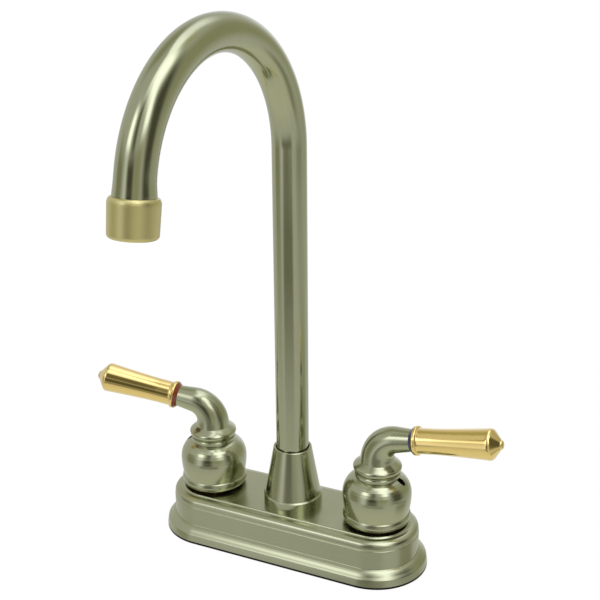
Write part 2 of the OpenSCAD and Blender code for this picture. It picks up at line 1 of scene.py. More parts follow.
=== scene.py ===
# %% [markdown]
# # A gooseneck bar faucet, dressed in Blender
#
# The CAD model gives every piece of this faucet at its real size. Here the
# pieces get their finishes: brushed satin nickel, polished and satin brass,
# rubber, acetal and ceramic. A few shapes that the CAD keeps plain are made
# again in finer form, inside the CAD model's box: the bent tube, the levers, the
# grips, the base, the screw threads and the aerator's screen.

# %% Load the CAD model
import bpy, bmesh, json, math
from mathutils import Matrix, Vector


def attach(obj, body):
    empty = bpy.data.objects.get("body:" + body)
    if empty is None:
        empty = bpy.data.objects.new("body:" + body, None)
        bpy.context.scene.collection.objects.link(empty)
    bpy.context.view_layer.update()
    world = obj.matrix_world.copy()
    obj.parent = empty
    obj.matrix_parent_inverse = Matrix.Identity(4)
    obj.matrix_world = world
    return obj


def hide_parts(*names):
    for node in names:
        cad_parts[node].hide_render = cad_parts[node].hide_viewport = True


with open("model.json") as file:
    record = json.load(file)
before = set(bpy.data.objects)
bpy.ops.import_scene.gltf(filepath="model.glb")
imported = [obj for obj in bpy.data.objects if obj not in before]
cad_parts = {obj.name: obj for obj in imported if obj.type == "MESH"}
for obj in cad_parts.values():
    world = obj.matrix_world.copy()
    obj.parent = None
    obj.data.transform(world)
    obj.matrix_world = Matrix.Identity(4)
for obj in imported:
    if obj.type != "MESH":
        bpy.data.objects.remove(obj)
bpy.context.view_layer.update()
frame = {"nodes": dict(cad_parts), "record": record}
MM = 0.001

# %% [markdown]
# ## The camera
#
# The picture was taken from the front right and a little above, with a modest
# lens. These numbers come from fitting the base, the bells and the arch to the
# picture. The camera's axes are built from yaw, pitch and roll, because each of
# those can be read and changed, where the nine numbers of a matrix can't.

# %% Camera
PICTURE = 600  # pixels along each side
VIEW = (-0.449, -0.356, -0.008)  # yaw, pitch and roll in radians
EYE = (0.2452, -0.4971, 0.3527)  # metres
FOCAL, OFF_CENTRE = 1117.2, (-0.65, -0.71)  # pixels
FILM = 36  # millimetres


def add_object(name, data):
    """Puts new data into the scene as an object."""
    piece = bpy.data.objects.new(name, data)
    bpy.context.scene.collection.objects.link(piece)
    return piece


def camera_axes(yaw, pitch, roll):
    """Right, up and backwards, for a camera that looks along +Y at zero yaw."""
    ahead = Vector((math.sin(yaw) * math.cos(pitch), math.cos(yaw) * math.cos(pitch), math.sin(pitch)))
    right = Vector((math.cos(yaw), -math.sin(yaw), 0))
    up = right.cross(ahead)
    rolled_right = right * math.cos(roll) + up * math.sin(roll)
    rolled_up = up * math.cos(roll) - right * math.sin(roll)
    return rolled_right, rolled_up, -ahead


camera = add_object("camera", bpy.data.cameras.new("camera"))
axes = Matrix([list(axis) for axis in camera_axes(*VIEW)]).transposed().to_4x4()
camera.matrix_world = Matrix.Translation(EYE) @ axes
camera.data.sensor_width = FILM
camera.data.lens = FOCAL * FILM / PICTURE
camera.data.shift_x = OFF_CENTRE[0] / PICTURE
camera.data.shift_y = OFF_CENTRE[1] / PICTURE
camera.data.clip_start = 0.01
bpy.context.scene.camera = camera
print("lens", round(camera.data.lens, 1), "mm")

# %% [markdown]
# ## Small helpers for node trees
#
# Finishes, the studio and the repeated shapes are all node trees. They could be
# drawn by hand in the node editor, but a tree in code can be read, compared and
# run again. `add_node` adds a node and sets its inputs by name. `sum_of` adds
# one Math node, whose inputs may be numbers or sockets, so a formula is written
# as a few calls.

# %% Node helpers
SOCKETS = {"number": "NodeSocketFloat", "colour": "NodeSocketColor", "vector": "NodeSocketVector",
           "shape": "NodeSocketGeometry", "material": "NodeSocketMaterial", "count": "NodeSocketInt"}


def put(tree, socket, value):
    """Links a socket, or sets a plain value."""
    if isinstance(value, bpy.types.NodeSocket):
        tree.links.new(value, socket)
    else:
        socket.default_value = value


def add_node(tree, kind, settings=None, **inputs):
    """A new node; an underscore in an input's name stands for a space."""
    node = tree.nodes.new(kind)
    for name, value in (settings or {}).items():
        setattr(node, name, value)
    for name, value in inputs.items():
        put(tree, node.inputs[name.replace("_", " ")], value)
    return node


def sum_of(tree, operation, *values):
    """The result of one Math node."""
    node = tree.nodes.new("ShaderNodeMath")
    node.operation = operation
    for socket, value in zip(node.inputs, values):
        put(tree, socket, value)
    return node.outputs[0]


def distance_of(tree, x, y):
    """How far a point lies from the origin of a plane."""
    squares = [sum_of(tree, "MULTIPLY", value, value) for value in (x, y)]
    return sum_of(tree, "SQRT", sum_of(tree, "ADD", *squares))


def vector_of(tree, x, y, z):
    return add_node(tree, "ShaderNodeCombineXYZ", X=x, Y=y, Z=z).outputs[0]


def parts_of(tree, vector):
    return add_node(tree, "ShaderNodeSeparateXYZ", Vector=vector).outputs


def mixed(tree, share, first, second):
    """The first colour, with a share of the second."""
    node = add_node(tree, "ShaderNodeMix", {"data_type": "RGBA"})
    for place, value in ((0, share), (6, first), (7, second)):
        put(tree, node.inputs[place], value)
    return node.outputs[2]


def new_group(name, kind, inputs, outputs):
    """A node group with named sockets, and its two ends."""
    group = bpy.data.node_groups.new(name, kind)
    for label, socket in outputs.items():
        group.interface.new_socket(name=label, in_out="OUTPUT", socket_type=SOCKETS[socket])
    for label, socket in inputs.items():
        group.interface.new_socket(name=label, in_out="INPUT", socket_type=SOCKETS[socket])
    return group, group.nodes.new("NodeGroupInput").outputs, group.nodes.new("NodeGroupOutput").inputs


# %% [markdown]
# ## The studio
#
# Metal has hardly a colour of its own: it shows the room. So the room is built
# first. Lamps alone would give small hot spots and black metal between them. A
# world made of soft cards, each at a compass direction and a height, gives the
# long streaks on the tube and the pairs of highlights on the bells: a bright
# ceiling, a few softboxes and windows, and dark screens between them. Only
# directions are used, so the streaks stay on the faucet's own sides when the
# camera moves.

# %% One soft card of the studio
def card_group():
    """Mask of a soft-edged card, from its direction in degrees."""
    group, ask, give = new_group("studio card", "ShaderNodeTree", {
        "Direction": "vector", "Compass": "number", "Height": "number",
        "Half Width": "number", "Half Height": "number", "Softness": "number"}, {"Mask": "number"})
    turn = sum_of(group, "RADIANS", sum_of(group, "MULTIPLY", ask["Compass"], -1.0))
    turned = add_node(group, "ShaderNodeVectorRotate", {"rotation_type": "Z_AXIS"}, Vector=ask["Direction"],
                      Angle=turn)
    x, y, z = parts_of(group, turned.outputs[0])
    sideways = sum_of(group, "ABSOLUTE", sum_of(group, "DEGREES", sum_of(group, "ARCTAN2", y, x)))
    height = sum_of(group, "DEGREES", sum_of(group, "ARCSINE", z))
    upward = sum_of(group, "ABSOLUTE", sum_of(group, "SUBTRACT", height, ask["Height"]))
    masks = []
    for distance, half in ((sideways, ask["Half Width"]), (upward, ask["Half Height"])):
        fade = add_node(group, "ShaderNodeMapRange", {"interpolation_type": "SMOOTHSTEP"}, Value=distance,
                        From_Min=sum_of(group, "ADD", half, ask["Softness"]),
                        From_Max=sum_of(group, "SUBTRACT", half, ask["Softness"]))
        masks.append(fade.outputs[0])
    put(group, give["Mask"], sum_of(group, "MULTIPLY", *masks))
    return group


CARD = card_group()

# %% The world, painted card by card
ROOM = (0.68, 0.68, 0.66, 1)


def cool(level):
    """A bright card, slightly blue like the lamps."""
    return (level * 0.96, level * 0.98, level * 1.06, 1)


def warm(level):
    """A dark card, slightly yellow."""
    return (level, level, level * 0.7, 1)


CARDS = [  # name, compass, height, half width, half height and softness in degrees, colour
    ("deck_glow", 0, -62, 179, 24, 14, (0.78, 0.78, 0.68, 1)),
    ("ceiling", 12, 84, 112, 22, 11, cool(1.95)),
    ("key_window", -24, 65, 38, 14, 12, cool(2.6)),
    ("right_window", 90, 58, 20, 14, 11, cool(1.6)),
    ("ceiling_gap", 38, 57, 13, 9, 8, warm(0.62)),
    ("right_wall", 48, 12, 28, 24, 16, warm(0.46)),
    ("left_wall", -148, -2, 18, 18, 9, warm(0.36)),
    ("front_screen", 1, 15, 20, 27, 12, warm(0.11)),
    ("front_softbox", -36, 42, 11, 16, 8, cool(2.5)),
    ("front_floor", -50, 8, 16, 14, 9, warm(0.48)),
    ("back_screen", 152, 56, 30, 15, 12, warm(0.42)),
    ("narrow_screen", -83, 38, 9, 16, 6, warm(0.14)),
    ("door_gap", -84, 4, 16, 15, 8, warm(0.10)),
    ("low_screen", -80, -18, 32, 5, 6, warm(0.20)),
    ("low_shadow", 20, -30, 22, 7, 8, warm(0.34)),
    ("side_softbox", -115, 35, 11, 13, 6, cool(2.6)),
    ("side_reflector", -112, 4, 7, 18, 5, cool(1.0)),
    ("back_sweep", 106, 2, 20, 16, 11, cool(1.0)),
]

world = bpy.data.worlds.new("studio")
bpy.context.scene.world = world
world.use_nodes = True
tree = world.node_tree
tree.nodes.clear()
direction = add_node(tree, "ShaderNodeTexCoord").outputs["Generated"]
paint = add_node(tree, "ShaderNodeRGB").outputs[0]
paint.default_value = ROOM
for name, compass, height, half_width, half_height, softness, colour in CARDS:
    card = add_node(tree, "ShaderNodeGroup", {"node_tree": CARD, "label": name}, Direction=direction,
                    Compass=compass, Height=height, Half_Width=half_width, Half_Height=half_height,
                    Softness=softness)
    paint = mixed(tree, card.outputs[0], paint, colour)
room = add_node(tree, "ShaderNodeBackground", Color=paint, Strength=1.0)
white = add_node(tree, "ShaderNodeBackground", Color=(1, 1, 1, 1), Strength=1.0)
seen = add_node(tree, "ShaderNodeLightPath").outputs["Is Camera Ray"]
mix = add_node(tree, "ShaderNodeMixShader", Fac=seen)
tree.links.new(room.outputs[0], mix.inputs[1])
tree.links.new(white.outputs[0], mix.inputs[2])
out = tree.nodes.new("ShaderNodeOutputWorld")
tree.links.new(mix.outputs[0], out.inputs["Surface"])
bpy.context.scene.view_settings.view_transform = "Standard"
print(len(CARDS), "cards in the studio")

# %% [markdown]
# ## A lamp and the deck
#
# One large soft lamp stands where the ceiling is brightest, and gives the faint
# contact shadow. The deck is a plain pale sheet. It glows white to the camera,
# which stands for the white background, and stays a matt sheet for the light, so
# it still takes the shadow. The metal shows the studio's lower half in its
# place, as the picture does.

# %% Lamp and deck
LAMP_PLACE, LAMP_SIZE, LAMP_POWER = (0.35, -0.15, 1.5), (1.0, 0.7), 3  # metres and watts
DECK_REACH = 4.0  # metres
DECK_GREY, DECK_GLOW, GLOW_SHARE = (0.85, 0.85, 0.85, 1), 1.03, 0.9

lamp = add_object("soft_lamp", bpy.data.lights.new("soft_lamp", "AREA"))
lamp.data.shape = "RECTANGLE"
lamp.data.size, lamp.data.size_y = LAMP_SIZE
lamp.data.energy = LAMP_POWER
lamp.visible_glossy = False
lamp.location = LAMP_PLACE
lamp.rotation_euler = (-lamp.location).to_track_quat("-Z", "Y").to_euler()

sheet = bpy.data.meshes.new("deck")
corners = [(x * DECK_REACH, y * DECK_REACH, 0) for x, y in ((-1, -1), (1, -1), (1, 1), (-1, 1))]
sheet.from_pydata(corners, [], [(0, 1, 2, 3)])
deck = add_object("deck", sheet)
deck.visible_glossy = False
deck_paint = bpy.data.materials.new("deck_paint")
deck_paint.use_nodes = True
tree = deck_paint.node_tree
matt = tree.nodes["Principled BSDF"]
matt.inputs["Base Color"].default_value = DECK_GREY
matt.inputs["Roughness"].default_value = 0.9
glow = add_node(tree, "ShaderNodeEmission", Color=(1, 1, 1, 1), Strength=DECK_GLOW)
seen = add_node(tree, "ShaderNodeLightPath").outputs["Is Camera Ray"]
mix = add_node(tree, "ShaderNodeMixShader", Fac=sum_of(tree, "MULTIPLY", seen, GLOW_SHARE))
tree.links.new(matt.outputs[0], mix.inputs[1])
tree.links.new(glow.outputs[0], mix.inputs[2])
tree.links.new(mix.outputs[0], tree.nodes["Material Output"].inputs["Surface"])
sheet.materials.append(deck_paint)
print("lamp", LAMP_POWER, "W, deck", 2 * DECK_REACH, "m wide")

# %% [markdown]
# ## Brush hairs
#
# Satin nickel is usually brushed with an abrasive belt. The scratches are finer
# than a hair and several millimetres long. A picture of brushed metal would
# repeat and stretch, so the hairs are noise, drawn out along the brush's way.
# Two groups make them. `round the axis` lays the pattern round a turned
# piece, or round a base with straight sides and round ends. `brush hairs` turns
# such a place into a shade, a roughness and a tiny height. A bent piece brings
# its own straightened place along as an attribute, so the hairs follow the bend.

# %% Where the hairs lie
FINE, COARSE = 3200.0, 70.0  # noise cells per metre, across and along the hairs
AROUND = 1.2  # noise cells that the pattern moves per radian


def axis_group():
    """Lays a pattern round an axis, or round a straight line of a given half length."""
    group, ask, give = new_group("round the axis", "ShaderNodeTree",
                                 {"Vector": "vector", "Half Length": "number"},
                                 {"Vector": "vector", "W": "number"})
    x, y, z = parts_of(group, ask["Vector"])
    lowest = sum_of(group, "MULTIPLY", ask["Half Length"], -1.0)
    along = sum_of(group, "MINIMUM", sum_of(group, "MAXIMUM", x, lowest), ask["Half Length"])
    side = sum_of(group, "SUBTRACT", x, along)
    distance = distance_of(group, side, y)
    safe = sum_of(group, "MAXIMUM", distance, 1e-5)
    round_x, round_y = (sum_of(group, "MULTIPLY", sum_of(group, "DIVIDE", value, safe), AROUND)
                        for value in (side, y))
    round_x = sum_of(group, "MULTIPLY_ADD", along, COARSE, round_x)
    upward = sum_of(group, "MULTIPLY", z, FINE)
    put(group, give["Vector"], vector_of(group, round_x, round_y, upward))
    put(group, give["W"], sum_of(group, "MULTIPLY", distance, FINE))
    return group


AXIS = axis_group()

# %% What the hairs do to the surface
HAIR_SHARE, CLOUD_SCALE = 0.6, 60.0  # the rest is a slow cloudiness, in noise cells per metre


def hairs_group():
    """A shade, a roughness and a height, from the place in the pattern."""
    group, ask, give = new_group("brush hairs", "ShaderNodeTree", {
        "Vector": "vector", "W": "number", "Place": "vector", "Light": "colour", "Dark": "colour",
        "Roughness": "number", "Spread": "number"},
        {"Colour": "colour", "Roughness": "number", "Height": "number"})
    hairs = add_node(group, "ShaderNodeTexNoise", {"noise_dimensions": "4D"}, Vector=ask["Vector"],
                     W=ask["W"], Scale=1.0, Detail=2.0, Roughness=0.6).outputs["Fac"]
    cloud = add_node(group, "ShaderNodeTexNoise", Vector=ask["Place"], Scale=CLOUD_SCALE, Detail=3.0)
    cloud = sum_of(group, "MULTIPLY", cloud.outputs["Fac"], 1 - HAIR_SHARE)
    blend = sum_of(group, "MULTIPLY_ADD", hairs, HAIR_SHARE, cloud)
    put(group, give["Colour"], mixed(group, blend, ask["Dark"], ask["Light"]))
    swing = sum_of(group, "SUBTRACT", blend, 0.5)
    put(group, give["Roughness"], sum_of(group, "MULTIPLY_ADD", swing, ask["Spread"], ask["Roughness"]))
    put(group, give["Height"], hairs)
    return group


HAIRS = hairs_group()

# %% [markdown]
# ## Painted shade in the screw hole
#
# The hole for the set screw looks black in the picture, because little light
# finds its way in and out of it. Bare nickel on its wall would mirror the bright
# studio. The bell is a CAD piece of one material, and a second one would need
# the hole's faces picked out. So a group paints this shade, in black, on whatever
# lies inside a thin rod along the hole's line, from 5 mm off the valve's axis outwards.

# %% Painted shade inside the screw hole
HOLE_R, HOLE_FROM = 1.87 * MM, 5 * MM
# painted shade: this black stands for the shade in the hole, not for a colour of the bell
HOLE_SHADE_BLACK = (0.01, 0.01, 0.01, 1)


def hole_shade_group():
    """Paints black shade into a rod that starts near the vector's origin and runs along the axis."""
    group, ask, give = new_group("painted hole shade", "ShaderNodeTree", {
        "Vector": "vector", "Axis": "vector", "Radius": "number", "From": "number", "Colour": "colour"},
        {"Colour": "colour"})
    crossed = add_node(group, "ShaderNodeVectorMath", {"operation": "CROSS_PRODUCT"})
    ahead = add_node(group, "ShaderNodeVectorMath", {"operation": "DOT_PRODUCT"})
    for node in (crossed, ahead):
        put(group, node.inputs[0], ask["Vector"])
        put(group, node.inputs[1], ask["Axis"])
    away = add_node(group, "ShaderNodeVectorMath", {"operation": "LENGTH"}, Vector=crossed.outputs["Vector"])
    near = sum_of(group, "LESS_THAN", away.outputs["Value"], ask["Radius"])
    past = sum_of(group, "GREATER_THAN", ahead.outputs["Value"], ask["From"])
    inside = sum_of(group, "MULTIPLY", near, past)
    put(group, give["Colour"], mixed(group, inside, ask["Colour"], HOLE_SHADE_BLACK))
    return group


HOLE = hole_shade_group()

# %% [markdown]
# ## One function for all finishes
#
# A faucet mixes plated, turned, cast and moulded pieces, yet every finish needs
# the same few things: two shades, a roughness that varies, and a fine relief.
# So one function builds them all, where a separate tree for each would repeat
# itself. `way` says where the pattern lies: `along` a bent piece by its
# attribute, `round` an axis, or `even` in all directions for castings, rubber
# and ceramic. Gloss that is the same all over, such as the lacquer, is set on
# the shader itself.

# %% The finish function
LACQUER_ROUGHNESS = 0.06


def finish(name, light, dark, roughness, spread, way="even", centre=(0, 0, 0), half_length=0.0,
           grain=600.0, relief=0.4, depth=4e-6, metallic=1.0, lacquer=0.0, lacquer_index=1.5,
           gloss=0.5, hole=None):
    """Grain is in noise cells per metre, depth in metres; hole is a point and a direction for a rod of
    painted shade.
    """
    material = bpy.data.materials.new(name)
    material.use_nodes = True
    tree = material.node_tree
    shader = tree.nodes["Principled BSDF"]
    place = add_node(tree, "ShaderNodeTexCoord").outputs["Object"]

    def moved(start):
        return add_node(tree, "ShaderNodeMapping", Vector=place, Location=[-c for c in start]).outputs[0]

    def scaled(pattern, *scale):
        return add_node(tree, "ShaderNodeMapping", Vector=pattern, Scale=scale).outputs[0]

    across = 0.0
    if way == "along":
        unbent = add_node(tree, "ShaderNodeAttribute", {"attribute_name": "unbent"}).outputs["Vector"]
        pattern = scaled(unbent, FINE, FINE, COARSE)
    elif way == "round":
        around = add_node(tree, "ShaderNodeGroup", {"node_tree": AXIS}, Vector=moved(centre),
                          Half_Length=half_length)
        pattern, across = around.outputs["Vector"], around.outputs["W"]
    else:
        pattern = scaled(place, grain, grain, grain)
    hairs = add_node(tree, "ShaderNodeGroup", {"node_tree": HAIRS}, Vector=pattern, W=across, Place=place,
                     Light=(*light, 1), Dark=(*dark, 1), Roughness=roughness, Spread=spread)
    bump = add_node(tree, "ShaderNodeBump", Strength=relief, Distance=depth, Height=hairs.outputs["Height"])
    colour = hairs.outputs["Colour"]
    # painted shade: the bell's colour turns black inside the set screw's hole
    if hole:
        start, axis = hole
        colour = add_node(tree, "ShaderNodeGroup", {"node_tree": HOLE}, Vector=moved(start), Axis=axis,
                          Radius=HOLE_R, From=HOLE_FROM, Colour=colour).outputs[0]
    put(tree, shader.inputs["Base Color"], colour)
    put(tree, shader.inputs["Roughness"], hairs.outputs["Roughness"])
    put(tree, shader.inputs["Normal"], bump.outputs[0])
    shader.inputs["Metallic"].default_value = metallic
    shader.inputs["Specular IOR Level"].default_value = gloss
    shader.inputs["Coat Weight"].default_value = lacquer
    shader.inputs["Coat IOR"].default_value = lacquer_index
    shader.inputs["Coat Roughness"].default_value = LACQUER_ROUGHNESS
    return material


# %% [markdown]
# ## Satin nickel
#
# The base, the post, the bells, the levers and the tube are all plated brass or
# zinc with the same brushed nickel, a little olive in the picture. One material
# could serve them all, but the brush ran round each of them on its own axis. So
# each gets its own copy, with its own centre and a roughness that follows how
# sharply it mirrors the studio in the picture.

# %% Satin nickel, one for each way of brushing
NICKEL_LIGHT, NICKEL_DARK, NICKEL_SPREAD = (0.475, 0.490, 0.330), (0.365, 0.380, 0.245), 0.12
VALVES = {"hot": -50.8 * MM, "cold": 50.8 * MM}
BASE_HALF = 49.9 * MM


def satin(name, roughness=0.15, **where):
    return finish(name, NICKEL_LIGHT, NICKEL_DARK, roughness, NICKEL_SPREAD, **where)


def screw_line(side):
    """A point on the valve's axis at the screw's height, and the screw's direction."""
    corners = [vertex.co for vertex in frame["nodes"][side + "_set_screw"].data.vertices]
    middle = [(min(c[i] for c in corners) + max(c[i] for c in corners)) / 2 for i in range(3)]
    start = Vector((VALVES[side], 0, middle[2]))
    return start, (Vector(middle) - start).normalized()


def bell_finish(side):
    return satin("satin_nickel_%s_bell" % side, 0.19, way="round", centre=(VALVES[side], 0, 0),
                 hole=screw_line(side))


finishes = {
    "satin_nickel": satin("satin_nickel_round_post", 0.19, way="round"),
    "satin_nickel_bent": satin("satin_nickel_bent", way="along"),
    "satin_nickel_lever": satin("satin_nickel_lever", 0.2, way="along"),
    "satin_nickel_base": satin("satin_nickel_base", 0.24, way="round", half_length=BASE_HALF),
    "satin_nickel_hot": bell_finish("hot"),
    "satin_nickel_cold": bell_finish("cold"),
}
print(len(finishes), "kinds of satin nickel")

# %% [markdown]
# ## Brass, steel, rubber and ceramic
#
# The grips are polished brass under a thick clear lacquer, which is why they
# show a second, whiter gloss. The aerator is brass too, but with a dull sheen.
# The valve body is a raw casting, and the hidden pieces are steel, acetal,
# rubber and ceramic. The two index rings are dyed plastic. They all come from
# the same function, with their own grain and relief.

# %% The other finishes
finishes.update({
    "polished_brass": finish("polished_brass", (0.90, 0.68, 0.22), (0.82, 0.58, 0.15), 0.10, 0.05,
                             grain=500.0, relief=0.1, lacquer=1.0, lacquer_index=1.8),
    "satin_brass": finish("satin_brass", (0.70, 0.62, 0.29), (0.63, 0.56, 0.25), 0.42, 0.08,
                          grain=1500.0, relief=0.2, lacquer=0.4),
    "cast_brass": finish("cast_brass", (0.62, 0.44, 0.19), (0.46, 0.31, 0.12), 0.42, 0.18,
                         grain=700.0, relief=0.6, depth=2e-5),
    "stainless_steel": finish("stainless_steel", (0.60, 0.60, 0.61), (0.50, 0.50, 0.51), 0.30, 0.12,
                              grain=900.0, relief=0.3),
    "black_rubber": finish("black_rubber", (0.006, 0.006, 0.006), (0.003, 0.003, 0.003), 0.6, 0.15,
                           grain=1100.0, relief=0.5, depth=1e-5, metallic=0.0, gloss=0.15),
    "white_acetal": finish("white_acetal", (0.78, 0.78, 0.75), (0.68, 0.68, 0.65), 0.42, 0.1,
                           grain=700.0, relief=0.2, metallic=0.0),
    "ceramic": finish("ceramic", (0.86, 0.84, 0.78), (0.78, 0.76, 0.70), 0.16, 0.06,
                      grain=900.0, relief=0.1, metallic=0.0, lacquer=0.5),
    "hot_index": finish("hot_index", (0.26, 0.045, 0.016), (0.17, 0.028, 0.010), 0.32, 0.1,
                        grain=800.0, relief=0.2, metallic=0.0, lacquer=0.5),
    "cold_index": finish("cold_index", (0.022, 0.036, 0.15), (0.014, 0.022, 0.10), 0.32, 0.1,
                         grain=800.0, relief=0.2, metallic=0.0, lacquer=0.5),
})
# painted shade: near-black steel for the set screws stands for the shade in their holes
SCREW_SHADE_STEEL = finish("shaded_screw_steel", (0.035, 0.033, 0.030), (0.02, 0.019, 0.018), 0.4, 0.1,
                     grain=900.0, relief=0.3)
print(len(finishes) + 1, "finishes")

# %% [markdown]
# ## Finishes for the CAD pieces
#
# Each CAD piece has a slot in the record, such as satin nickel or ceramic, which
# names its finish. Only nickel needs a choice: the piece's name says whether it
# was brushed round the base, a valve or the post. The nipple carries the bent
# tube's finish. The two set screws get a near-black steel in place of their slot's
# finish: painted shade, standing for the dark of the holes they sit in.

# %% Dress the CAD pieces
slot_of = {part["node"]: part["material_slot"] for part in frame["record"]["subparts"]}
for name, piece in frame["nodes"].items():
    slot = slot_of[name]
    if slot == "satin_nickel":
        slot = "satin_nickel_bent" if name == "spout_nipple" else slot
        nickel = "satin_nickel_" + name.split("_")[0]
        slot = nickel if nickel in finishes else slot
    piece.data.materials.clear()
    piece.data.materials.append(SCREW_SHADE_STEEL if name.endswith("set_screw") else finishes[slot])
print(len(frame["nodes"]), "CAD pieces finished")

# %% [markdown]
# ## Running a Geometry Nodes tree
#
# Each tree below is a recipe with named sizes. `make_with` puts it on a starting
# mesh, sets its sizes, and turns the result into a plain mesh, so nothing live
# is left on the piece. Where a piece is hollow, Solidify then gives it a wall,
# inwards. Edges sharper than 35 degrees stay crisp, or 25 on the base, and the
# rest are shaded smooth.

# %% Mesh helpers
SHARP, WELD = 35, 1e-6  # degrees and metres


def shade(work, sharp=SHARP):
    """Turns faces outwards and keeps only sharp edges crisp."""
    bmesh.ops.recalc_face_normals(work, faces=work.faces)
    for face in work.faces:
        face.smooth = True
    for edge in work.edges:
        edge.smooth = len(edge.link_faces) == 2 and edge.calc_face_angle(0) < math.radians(sharp)


def tidy_mesh(mesh, sharp=SHARP):
    """Merges doubles, then shades."""
    work = bmesh.new()
    work.from_mesh(mesh)
    bmesh.ops.remove_doubles(work, verts=work.verts, dist=WELD)
    shade(work, sharp)
    work.to_mesh(mesh)
    work.free()


def drop_faces(mesh, unwanted):
    """Opens a closed shape, where a test says so of a face."""
    work = bmesh.new()
    work.from_mesh(mesh)
    bmesh.ops.delete(work, geom=[face for face in work.faces if unwanted(face)], context="FACES_ONLY")
    work.to_mesh(mesh)
    work.free()


def plain_mesh(piece):
    """What the object's modifiers make, as a mesh of its own."""
    return bpy.data.meshes.new_from_object(piece.evaluated_get(bpy.context.evaluated_depsgraph_get()))


# %% Run a tree and keep its plain mesh
def make_with(recipe, name, sizes, material, start=None, place=Matrix(), sharp=SHARP, unwanted=None,
              wall=0.0):
    """A finished piece; `unwanted` picks faces to leave out before the wall is made."""
    holder = add_object(name, start or bpy.data.meshes.new(name))
    modifier = holder.modifiers.new(name, "NODES")
    modifier.node_group = recipe
    for item in recipe.interface.items_tree:
        if item.in_out == "INPUT" and item.name in sizes:
            modifier[item.identifier] = sizes[item.name]
        if item.in_out == "INPUT" and item.name == "Finish":
            modifier[item.identifier] = material
    made = plain_mesh(holder)
    bpy.data.objects.remove(holder)
    made.name = name
    tidy_mesh(made, sharp)
    if unwanted:
        drop_faces(made, unwanted)
    piece = add_object(name, made)
    if wall:
        skin = piece.modifiers.new("wall", "SOLIDIFY")
        skin.thickness, skin.offset = wall, -1
        thick = plain_mesh(piece)
        piece.modifiers.clear()
        piece.data = thick
        tidy_mesh(thick, sharp)
    piece.data.transform(place)
    if not piece.data.materials:
        piece.data.materials.append(material)
    print(name, len(piece.data.polygons), "faces")
    return piece


def finish_recipe(group, shape, ask, give):
    """Every tree ends the same way: real geometry, then its material."""
    real = add_node(group, "GeometryNodeRealizeInstances", Geometry=shape)
    dressed = add_node(group, "GeometryNodeSetMaterial", Geometry=real.outputs[0], Material=ask["Finish"])
    put(group, give["Geometry"], dressed.outputs[0])


def stored(group, shape, name, kind, value):
    """Keeps a value on the points under a name."""
    node = add_node(group, "GeometryNodeStoreNamedAttribute", {"data_type": kind, "domain": "POINT"},
                    Geometry=shape, Name=name)
    put(group, node.inputs["Value"], value)
    return node.outputs[0]


def named(group, name, kind="FLOAT"):
    return add_node(group, "GeometryNodeInputNamedAttribute", {"data_type": kind}, Name=name).outputs[0]


# %% [markdown]
# ## A recipe for turned and bent pieces
#
# The tube is bent in a machine and the levers are cast, but both are a turned
# outline on a path that rises, bends and runs on. A curve with a round bevel
# would make the tube, but not the lever's cup. So one recipe makes both. It
# takes an outline drawn flat, distance along by radius, lays the distance on the
# path, and sweeps a circle of that radius. With a half length, it also pulls the
# two halves of the circle apart, which makes the base. The straightened place of
# every point is kept as `unbent`, for the brush hairs.

